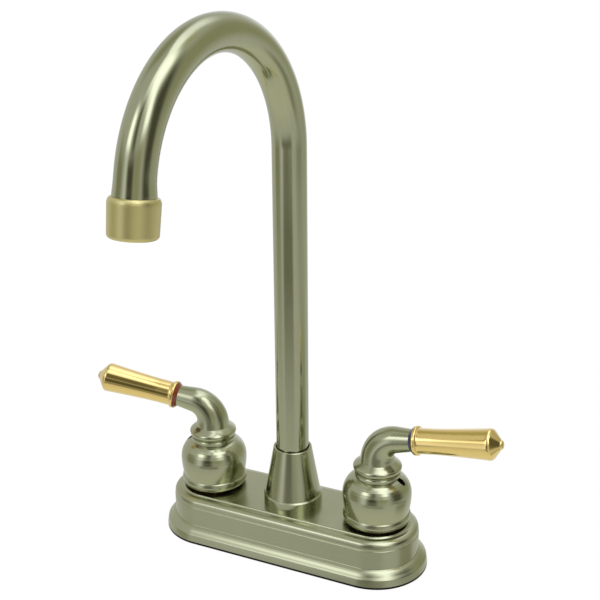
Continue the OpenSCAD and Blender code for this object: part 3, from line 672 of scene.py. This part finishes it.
# %% Recipe: a turned outline on a bent path
def bent_recipe():
    group, ask, give = new_group("turned and bent", "GeometryNodeTree", {
        "Geometry": "shape", "Rise": "number", "Bend Radius": "number", "Bend Angle": "number",
        "Sides": "count", "Half Length": "number", "Finish": "material"}, {"Geometry": "shape"})
    curve = add_node(group, "GeometryNodeMeshToCurve", Mesh=ask["Geometry"]).outputs[0]
    distance, radius, _ = parts_of(group, add_node(group, "GeometryNodeInputPosition").outputs[0])
    curve = stored(group, curve, "radius_here", "FLOAT", radius)
    curve = stored(group, curve, "along", "FLOAT", distance)
    distance = named(group, "along")
    past = sum_of(group, "MAXIMUM", sum_of(group, "SUBTRACT", distance, ask["Rise"]), 0.0)
    bend = sum_of(group, "MINIMUM", sum_of(group, "DIVIDE", past, ask["Bend Radius"]), ask["Bend Angle"])
    bend_length = sum_of(group, "MULTIPLY", ask["Bend Radius"], ask["Bend Angle"])
    run = sum_of(group, "MAXIMUM", sum_of(group, "SUBTRACT", past, bend_length), 0.0)
    sine, cosine = sum_of(group, "SINE", bend), sum_of(group, "COSINE", bend)
    x = sum_of(group, "MULTIPLY_ADD", ask["Bend Radius"], sum_of(group, "SUBTRACT", 1.0, cosine),
               sum_of(group, "MULTIPLY", run, sine))
    z = sum_of(group, "MULTIPLY_ADD", ask["Bend Radius"], sine, sum_of(group, "MULTIPLY", run, cosine))
    z = sum_of(group, "ADD", z, sum_of(group, "MINIMUM", distance, ask["Rise"]))
    curve = add_node(group, "GeometryNodeSetPosition", Geometry=curve,
                     Position=vector_of(group, x, 0.0, z)).outputs[0]
    circle = add_node(group, "GeometryNodeCurvePrimitiveCircle", Resolution=ask["Sides"])
    circle.inputs["Radius"].default_value = 1.0
    spot = add_node(group, "GeometryNodeInputPosition").outputs[0]
    profile = stored(group, circle.outputs[0], "spot", "FLOAT_VECTOR", spot)
    swept = add_node(group, "GeometryNodeCurveToMesh", Curve=curve, Profile_Curve=profile)
    put(group, swept.inputs["Scale"], named(group, "radius_here"))
    swept.inputs["Fill Caps"].default_value = True
    around = add_node(group, "ShaderNodeVectorMath", {"operation": "SCALE"},
                      Vector=named(group, "spot", "FLOAT_VECTOR"), Scale=named(group, "radius_here"))
    side_x, side_y, _ = parts_of(group, around.outputs[0])
    pull = sum_of(group, "MULTIPLY", sum_of(group, "SIGN", side_x), ask["Half Length"])
    swept = add_node(group, "GeometryNodeSetPosition", Geometry=swept.outputs[0],
                     Offset=vector_of(group, pull, 0.0, 0.0))
    unbent = vector_of(group, side_x, side_y, named(group, "along"))
    shape = stored(group, swept.outputs[0], "unbent", "FLOAT_VECTOR", unbent)
    finish_recipe(group, shape, ask, give)
    return group


BENT = bent_recipe()


def outline_mesh(name, rows):
    """A poly line whose points are distance along and radius, in millimetres."""
    mesh = bpy.data.meshes.new(name)
    mesh.from_pydata([(s * MM, r * MM, 0) for s, r in rows], [(i, i + 1) for i in range(len(rows) - 1)], [])
    return mesh


# %% [markdown]
# ## The gooseneck tube
#
# The tube has a 9 mm radius and a 1.2 mm wall. It rises from the spout's post,
# bends round a 63.5 mm radius and stops 9 degrees short of a half turn. Its end
# faces are left out, and Solidify gives the wall. The last few millimetres open
# out over the nipple that carries the aerator, because that joint is brazed and
# polished flush, and a seam there would show as a bright ring.

# %% Gooseneck
TUBE_FOOT, ARCH_Z, ARCH_R = 38.8, 228.5, 63.5  # millimetres, as in the CAD
TUBE_R, TUBE_WALL, TUBE_SIDES = 9.0, 1.2, 72
OUTLET_LEAN, SPOUT_TURN = 9.0, -3.8  # degrees
STEPS_UP, STEPS_ROUND, FLARE_FROM = 12, 150, 148
FLARE = ((-2.5, 0.02), (-1.2, 0.06), (0, 0.12), (1.2, 0.21),  # past the arch's end, wider than the tube
         (2.5, 0.32), (3.7, 0.43), (4.7, 0.515), (5.3, 0.53))
rise = ARCH_Z - TUBE_FOOT
arc = ARCH_R * math.radians(180 - OUTLET_LEAN)
rows = [(rise * i / STEPS_UP, TUBE_R) for i in range(STEPS_UP)]
rows += [(rise + arc * i / STEPS_ROUND, TUBE_R) for i in range(FLARE_FROM)]
rows += [(rise + arc + past, TUBE_R + wider) for past, wider in FLARE]
spout_place = Matrix.Rotation(math.radians(SPOUT_TURN), 4, "Z")
toward_front = Matrix.Translation((0, 0, TUBE_FOOT * MM)) @ Matrix.Rotation(math.radians(-90), 4, "Z")
tube_sizes = {"Rise": rise * MM, "Bend Radius": ARCH_R * MM, "Bend Angle": math.radians(180 - OUTLET_LEAN),
              "Sides": TUBE_SIDES}
tube = make_with(BENT, "gooseneck", tube_sizes, finishes["satin_nickel_bent"],
                 start=outline_mesh("gooseneck_outline", rows), place=spout_place @ toward_front,
                 unwanted=lambda face: len(face.verts) > 4, wall=TUBE_WALL * MM)
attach(tube, "spout")
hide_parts("spout_tube")

# %% [markdown]
# ## The levers
#
# Each lever is a casting: a spigot in the bell, a cup with a rolled rim, and an
# arm that tapers from 9.4 to 6 mm in radius while it bends outwards. A Bevel
# modifier could round its edges, but only by one amount. Here the outline itself
# gets small soft curves, because a polished casting has no knife edge, and those
# curves are where the light catches.

# %% Outline helpers
def soften(rows, reach=0.5, steps=4):
    """Rounds each corner of an outline with a short curve."""
    out = [rows[0]]
    for before, here, after in zip(rows, rows[1:], rows[2:]):
        here = Vector(here)
        back, on = Vector(before) - here, Vector(after) - here
        cut = min(reach, back.length * 0.45, on.length * 0.45)
        start, end = here + back.normalized() * cut, here + on.normalized() * cut
        for i in range(steps + 1):
            t = i / steps
            out.append(tuple(start * (1 - t) ** 2 + here * 2 * t * (1 - t) + end * t * t))
    return out + [rows[-1]]


def flowing(rows, per=5):
    """A smooth curve through every point of an outline."""
    out = []
    for i in range(len(rows) - 1):
        p0, p1, p2, p3 = (Vector(rows[max(0, min(len(rows) - 1, k))]) for k in (i - 1, i, i + 1, i + 2))
        for j in range(per):
            t = j / per
            out.append(tuple(0.5 * (2 * p1 + (p2 - p0) * t + (2 * p0 - 5 * p1 + 4 * p2 - p3) * t * t
                                    + (3 * p1 - p0 - 3 * p2 + p3) * t ** 3)))
    return out + [rows[-1]]


# %% Lever arms
BELL_TOP, SPIGOT_LEN, SPIGOT_R = 56.6, 1.2, 5.0  # millimetres, as in the CAD
CUP_R, CUP_H, FOOT_R, END_R, FOOT_H = 13.2, 6.2, 9.4, 6.0, 8.0
BEND_R, STRAIGHT, TILT = 12.5, 9.2, 9.9  # the tilt in degrees above level
TURN = {"hot": 180 + 12, "cold": -1}  # degrees from the base's long axis
CUP = [(0, 0.915), (0.1, 0.955), (0.3, 0.99), (0.45, 1),  # shares of the cup's height and radius
       (0.6, 0.965), (0.78, 0.86), (0.92, 0.765)]
GAP = 0.02  # keeps two steps of an outline apart
TAPER_STEPS, LEVER_SIDES = 40, 56
arm_rise = SPIGOT_LEN + FOOT_H
bend = math.radians(90 - TILT)
arm_len = arm_rise + BEND_R * bend + STRAIGHT
taper_from = SPIGOT_LEN + CUP_H
cup_rows = flowing([(SPIGOT_LEN + CUP_H * h, CUP_R * r) for h, r in CUP] + [(taper_from, FOOT_R + GAP)])
taper = [(taper_from + (arm_len - taper_from) * i / TAPER_STEPS,
          FOOT_R + (END_R - FOOT_R) * i / TAPER_STEPS) for i in range(1, TAPER_STEPS + 1)]
arm_rows = [(0, SPIGOT_R), (SPIGOT_LEN - GAP, SPIGOT_R)] + cup_rows + taper
lever_sizes = {"Rise": arm_rise * MM, "Bend Radius": BEND_R * MM, "Bend Angle": bend, "Sides": LEVER_SIDES}


def lever_place(side):
    """From the lever's own path to its place on the faucet."""
    return (Matrix.Translation((VALVES[side], 0, (BELL_TOP - SPIGOT_LEN) * MM))
            @ Matrix.Rotation(math.radians(TURN[side]), 4, "Z"))


for side in VALVES:
    arm = make_with(BENT, side + "_lever", lever_sizes, finishes["satin_nickel_lever"],
                    start=outline_mesh(side + "_lever_outline", arm_rows), place=lever_place(side))
    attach(arm, side + "_handle")
    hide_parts(side + "_handle_arm")

# %% [markdown]
# ## The grips
#
# Each grip is turned from brass bar, polished and lacquered. It begins with a
# round bead, swells slowly towards its end, turns over a round shoulder and
# closes in a blunt cone with a small finial. It carries on the lever's own path,
# so the same recipe sweeps it, and it always lines up with the arm. The hole for
# the stud stays in the CAD piece and doesn't show.

# %% Grips
RING_T, GRIP_LEN, GRIP_TIP = 1.9, 47.9, 7.0  # millimetres, as in the CAD
BEAD_R, GRIP_R, GRIP_END_R, FINIAL_R = 7.95, 6.85, 8.3, 2.5
MOUTH_R, BEAD_LEN, SHOULDER_R, DOME = 5.0, 2.3, 2.4, 1.2
SHOULDER_TURN = 52  # degrees that the shoulder turns before the cone begins
SWELL_STEPS, SHOULDER_STEPS, DOME_STEPS = 40, 10, 8
foot = arm_len + RING_T
bead_end, tip = foot + BEAD_LEN, foot + GRIP_LEN
body, end = bead_end + 0.8, tip - GRIP_TIP
top_r = FINIAL_R - 0.1


def swell(share):
    """How far the grip has widened: not at all at first, then faster and faster."""
    return 0 if share < 0.2 else ((share - 0.2) / 0.8) ** 1.4


grip_rows = soften([(foot, MOUTH_R), (foot, BEAD_R - 0.5), (foot + 0.5, BEAD_R), (bead_end - 0.6, BEAD_R),
                    (bead_end, BEAD_R - 0.6), (bead_end, GRIP_R + 0.1), (body, GRIP_R)], reach=0.35)
for i in range(1, SWELL_STEPS + 1):
    share = i / SWELL_STEPS
    grip_rows.append((body + (end - body) * share, GRIP_R + (GRIP_END_R - GRIP_R) * swell(share)))
for i in range(1, SHOULDER_STEPS + 1):
    t = math.radians(SHOULDER_TURN) * i / SHOULDER_STEPS
    grip_rows.append((end + SHOULDER_R * math.sin(t), GRIP_END_R - SHOULDER_R * (1 - math.cos(t))))
grip_rows += soften([grip_rows[-1], (tip - DOME - 0.3, FINIAL_R + 0.2), (tip - DOME, top_r)], reach=0.3)[1:]
for i in range(1, DOME_STEPS):
    t = math.radians(90) * i / DOME_STEPS
    grip_rows.append((tip - DOME * (1 - math.sin(t)), top_r * math.cos(t)))
grip_rows.append((tip, 0.0))
for side in VALVES:
    grip = make_with(BENT, side + "_brass_grip", lever_sizes, finishes["polished_brass"],
                     start=outline_mesh(side + "_grip_outline", grip_rows), place=lever_place(side))
    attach(grip, side + "_handle")
    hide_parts(side + "_grip")

# %% [markdown]
# ## The base
#
# The base is a zinc casting with straight sides and round ends. Polishing leaves
# its steps slightly soft, and each soft edge catches a thin streak of light. A
# Bevel modifier would round all of them alike, where the real ones differ. So
# the recipe for turned pieces makes it too: an upright outline is swept round,
# and the two halves of the circle are pulled apart by the half length. The
# outline starts at the foot's outer edge and climbs to the rim of the flat top.
# The path is straight, because its bend would begin only a metre up.

# %% Base cover
BASE_WALL, BASE_SIDES, BASE_SHARP = 1.8, 128, 25
foot_slope = [(1.2, 29.2), (5.0, 28.6), (6.1, 27.5), (7.1, 26.65), (8.0, 25.75), (8.6, 24.9), (8.95, 24.2),
              (19.9, 24.2), (20.1, 23.95), (20.35, 23.93), (20.7, 24.05)]
shoulder = [(21.3, 24.03), (22.6, 23.85), (23.4, 23.5), (24.1, 22.85), (24.65, 21.95), (24.95, 21.2)]
top_edge = [(24.96, 21.1), (25.15, 19.6), (25.55, 19.05), (25.9, 18.8), (25.99, 18.3), (26.0, 17.6)]
base_rows = soften(foot_slope, reach=0.3) + flowing(shoulder) + soften(top_edge, reach=0.25)
base_sizes = {"Rise": 1.0, "Bend Radius": 1.0, "Bend Angle": 0.0, "Sides": BASE_SIDES,
              "Half Length": BASE_HALF}
cover = make_with(BENT, "polished_base", base_sizes, finishes["satin_nickel_base"],
                  start=outline_mesh("base_outline", base_rows), sharp=BASE_SHARP,
                  unwanted=lambda face: len(face.verts) > 8 and face.calc_center_median().z < 2 * MM,
                  wall=BASE_WALL * MM)
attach(cover, "base")
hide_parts("base_cover")

# %% [markdown]
# ## Screw threads on the shanks
#
# Below the deck each valve ends in a shank with a half-inch pipe thread, 14
# turns to the inch, for the lock nut and the supply hose. A thread is cut on a
# lathe as one long helix. The Screw modifier would sweep a tooth along a helix
# and leave both of its ends open, so this recipe wraps a fine grid round the
# shank instead and lets the radius follow the helix. The thread fades out at
# both ends, as it does where the die starts and stops.

# %% Recipe: a thread wrapped round a shank
FADE = 1.6 * MM  # length over which the thread runs out
ROOT_SHARE, CREST_SHARE = 0.12, 0.88  # between them lies the sloping flank


def thread_recipe():
    group, ask, give = new_group("thread", "GeometryNodeTree", {
        "Geometry": "shape", "Low": "number", "High": "number", "Root": "number", "Crest": "number",
        "Pitch": "number", "Columns": "count", "Rows": "count", "Finish": "material"}, {"Geometry": "shape"})
    length = sum_of(group, "SUBTRACT", ask["High"], ask["Low"])
    grid = add_node(group, "GeometryNodeMeshGrid", Size_X=1.0, Size_Y=1.0, Vertices_X=ask["Columns"],
                    Vertices_Y=ask["Rows"])
    u, v, _ = parts_of(group, add_node(group, "GeometryNodeInputPosition").outputs[0])
    height = sum_of(group, "MULTIPLY_ADD", sum_of(group, "ADD", v, 0.5), length, ask["Low"])
    angle = sum_of(group, "MULTIPLY", u, 2 * math.pi)
    turns = sum_of(group, "SUBTRACT", sum_of(group, "DIVIDE", height, ask["Pitch"]), u)
    ridge = sum_of(group, "MULTIPLY", sum_of(group, "PINGPONG", turns, 0.5), 2.0)
    flank = add_node(group, "ShaderNodeMapRange", Value=ridge, From_Min=ROOT_SHARE, From_Max=CREST_SHARE)
    cut = flank.outputs[0]
    for top, bottom in ((height, ask["Low"]), (ask["High"], height)):
        inside = sum_of(group, "SUBTRACT", top, bottom)
        fade = add_node(group, "ShaderNodeMapRange", Value=inside, From_Max=FADE)
        cut = sum_of(group, "MULTIPLY", cut, fade.outputs[0])
    depth = sum_of(group, "SUBTRACT", ask["Crest"], ask["Root"])
    radius = sum_of(group, "MULTIPLY_ADD", cut, depth, ask["Root"])
    spot = vector_of(group, sum_of(group, "MULTIPLY", radius, sum_of(group, "COSINE", angle)),
                     sum_of(group, "MULTIPLY", radius, sum_of(group, "SINE", angle)), height)
    shape = add_node(group, "GeometryNodeSetPosition", Geometry=grid.outputs["Mesh"], Position=spot)
    finish_recipe(group, shape.outputs[0], ask, give)
    return group


THREAD = thread_recipe()

# %% The casting, turned down to the threads' root
ROOT, CREST, PITCH = 9.62, 10.44, 25.4 / 14  # millimetres
SHOULDER_CUTS = (-1.2, -1.25)  # two cuts just below the casting's shoulder
SHANK_BORE = 8  # nothing nearer the axis is turned down


def slimmed(source, name):
    """A copy of the casting with its shanks turned down to the thread's root."""
    mesh = source.data.copy()
    work = bmesh.new()
    work.from_mesh(mesh)
    bmesh.ops.remove_doubles(work, verts=work.verts, dist=WELD)
    for level in SHOULDER_CUTS:
        bmesh.ops.bisect_plane(work, geom=work.verts[:] + work.edges[:] + work.faces[:], dist=1e-7,
                               plane_co=(0, 0, level * MM), plane_no=(0, 0, 1))
    below = sum(SHOULDER_CUTS) / 2 * MM
    for vertex in work.verts:
        axis = math.copysign(VALVES["cold"], vertex.co.x)
        across = Vector((vertex.co.x - axis, vertex.co.y))
        if vertex.co.z < below and across.length > SHANK_BORE * MM:
            across *= ROOT * MM / across.length
            vertex.co.x, vertex.co.y = axis + across.x, across.y
    shade(work)
    work.to_mesh(mesh)
    work.free()
    return add_object(name, mesh)


casting = slimmed(frame["nodes"]["valve_body"], "valve_casting")
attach(casting, "base")
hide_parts("valve_body")
print(casting.name, len(casting.data.polygons), "faces")

# %% Threads on both shanks
SLEEVES = [(-59.4, -38.0), (-36.0, -1.4)]  # lowest and highest point, in millimetres
SLEEVE_WALL, COLUMNS, ROWS_PER_TURN = 0.3, 65, 9
for side, x in VALVES.items():
    for low, high in SLEEVES:
        sizes = {"Low": low * MM, "High": high * MM, "Root": ROOT * MM, "Crest": CREST * MM,
                 "Pitch": PITCH * MM, "Columns": COLUMNS, "Rows": int((high - low) / PITCH * ROWS_PER_TURN)}
        sleeve = make_with(THREAD, "%s_thread_%d" % (side, -low), sizes, finishes["cast_brass"],
                           place=Matrix.Translation((x, 0, 0)), wall=SLEEVE_WALL * MM)
        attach(sleeve, "base")

# %% [markdown]
# ## The aerator's screen
#
# Behind the outlet sits a disc of woven steel wire. Each wire passes over one
# neighbour and under the next. A pierced plate would look flat from below. The
# recipe draws one set of parallel waved wires, clips them to the round opening,
# and adds the same set turned over about the diagonal, so that the crossings
# interlock. A rolled steel rim holds their ends.

# %% Recipe: woven wire
POINTS_PER_WIRE, WIRE_SIDES = 145, 6
SWING = 1.02  # height of the wave, in wire radii, so that crossing wires just clear


def weave_recipe():
    group, ask, give = new_group("woven screen", "GeometryNodeTree", {
        "Geometry": "shape", "Radius": "number", "Gap": "number", "Wire": "number", "Wires": "count",
        "Finish": "material"}, {"Geometry": "shape"})
    span = sum_of(group, "MULTIPLY", sum_of(group, "SUBTRACT", ask["Wires"], 1.0), ask["Gap"])
    half = sum_of(group, "MULTIPLY", span, 0.5)
    back = sum_of(group, "MULTIPLY", half, -1.0)
    places = add_node(group, "GeometryNodeMeshLine", Count=ask["Wires"],
                      Start_Location=vector_of(group, 0.0, back, 0.0),
                      Offset=vector_of(group, 0.0, ask["Gap"], 0.0))
    wire = add_node(group, "GeometryNodeCurvePrimitiveLine", Start=vector_of(group, back, 0.0, 0.0),
                    End=vector_of(group, half, 0.0, 0.0))
    fine = add_node(group, "GeometryNodeResampleCurve", Curve=wire.outputs[0], Count=POINTS_PER_WIRE)
    row = add_node(group, "GeometryNodeInstanceOnPoints", Points=places.outputs[0], Instance=fine.outputs[0])
    rows = add_node(group, "GeometryNodeRealizeInstances", Geometry=row.outputs[0]).outputs[0]
    x, y, _ = parts_of(group, add_node(group, "GeometryNodeInputPosition").outputs[0])
    step = sum_of(group, "DIVIDE", math.pi, ask["Gap"])
    waves = [sum_of(group, "COSINE", sum_of(group, "MULTIPLY", value, step)) for value in (x, y)]
    height = sum_of(group, "MULTIPLY", sum_of(group, "MULTIPLY", *waves),
                    sum_of(group, "MULTIPLY", ask["Wire"], SWING))
    waved = add_node(group, "GeometryNodeSetPosition", Geometry=rows,
                     Position=vector_of(group, x, y, height)).outputs[0]
    outside = sum_of(group, "GREATER_THAN", distance_of(group, x, y), ask["Radius"])
    clipped = add_node(group, "GeometryNodeDeleteGeometry", {"domain": "POINT"}, Geometry=waved,
                       Selection=outside).outputs[0]
    circle = add_node(group, "GeometryNodeCurvePrimitiveCircle", Resolution=WIRE_SIDES)
    put(group, circle.inputs["Radius"], ask["Wire"])
    round_wire = add_node(group, "GeometryNodeCurveToMesh", Curve=clipped, Profile_Curve=circle.outputs[0])
    round_wire.inputs["Fill Caps"].default_value = True
    turned = add_node(group, "GeometryNodeTransform", Geometry=round_wire.outputs[0])
    turned.inputs["Rotation"].default_value = (math.pi, 0, math.pi / 2)
    both = group.nodes.new("GeometryNodeJoinGeometry")
    group.links.new(turned.outputs[0], both.inputs[0])
    group.links.new(round_wire.outputs[0], both.inputs[0])
    finish_recipe(group, both.outputs[0], ask, give)
    return group


# %% Screen in the outlet
SCREEN_Z, SCREEN_R, SCREEN_T = -22.0, 8.5, 0.5  # millimetres, as in the CAD
MESH_R, MESH_GAP, WIRE_R, WIRES = 8.1, 0.9, 0.12, 19
lean = math.radians(OUTLET_LEAN)
outlet = (0, -ARCH_R * (1 + math.cos(lean)) * MM, (ARCH_Z + ARCH_R * math.sin(lean)) * MM)
outlet_place = spout_place @ Matrix.Translation(outlet) @ Matrix.Rotation(-lean, 4, "X")
screen_sizes = {"Radius": MESH_R * MM, "Gap": MESH_GAP * MM, "Wire": WIRE_R * MM, "Wires": WIRES}
screen_disc = make_with(weave_recipe(), "woven_screen", screen_sizes, finishes["stainless_steel"],
                        place=outlet_place @ Matrix.Translation((0, 0, (SCREEN_Z + SCREEN_T / 2) * MM)))

# %% The screen's rim
RIM_W, RIM_EASE, RIM_SIDES = 0.65, 0.05, 72
near, far = SCREEN_R - RIM_W, SCREEN_R - RIM_EASE
rim = [(near + RIM_EASE, 0), (far, 0), (SCREEN_R, RIM_EASE), (SCREEN_R, SCREEN_T - RIM_EASE),
       (far, SCREEN_T), (near + RIM_EASE, SCREEN_T), (near, SCREEN_T - RIM_EASE), (near, RIM_EASE)]
rim_points, rim_faces = [], []
for k in range(RIM_SIDES):
    angle = 2 * math.pi * k / RIM_SIDES
    here, there = k * len(rim), (k + 1) % RIM_SIDES * len(rim)
    for i, (r, z) in enumerate(rim):
        after = (i + 1) % len(rim)
        rim_points.append((r * MM * math.cos(angle), r * MM * math.sin(angle), z * MM))
        rim_faces.append((here + i, here + after, there + after, there + i))
rim_mesh = bpy.data.meshes.new("screen_rim")
rim_mesh.from_pydata(rim_points, [], rim_faces)
tidy_mesh(rim_mesh)
rim_mesh.transform(outlet_place @ Matrix.Translation((0, 0, SCREEN_Z * MM)))
rim_mesh.materials.append(finishes["stainless_steel"])
rim_ring = add_object("screen_rim", rim_mesh)
for piece in (screen_disc, rim_ring):
    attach(piece, "spout")
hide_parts("aerator_screen")
print(rim_ring.name, len(rim_faces), "faces")
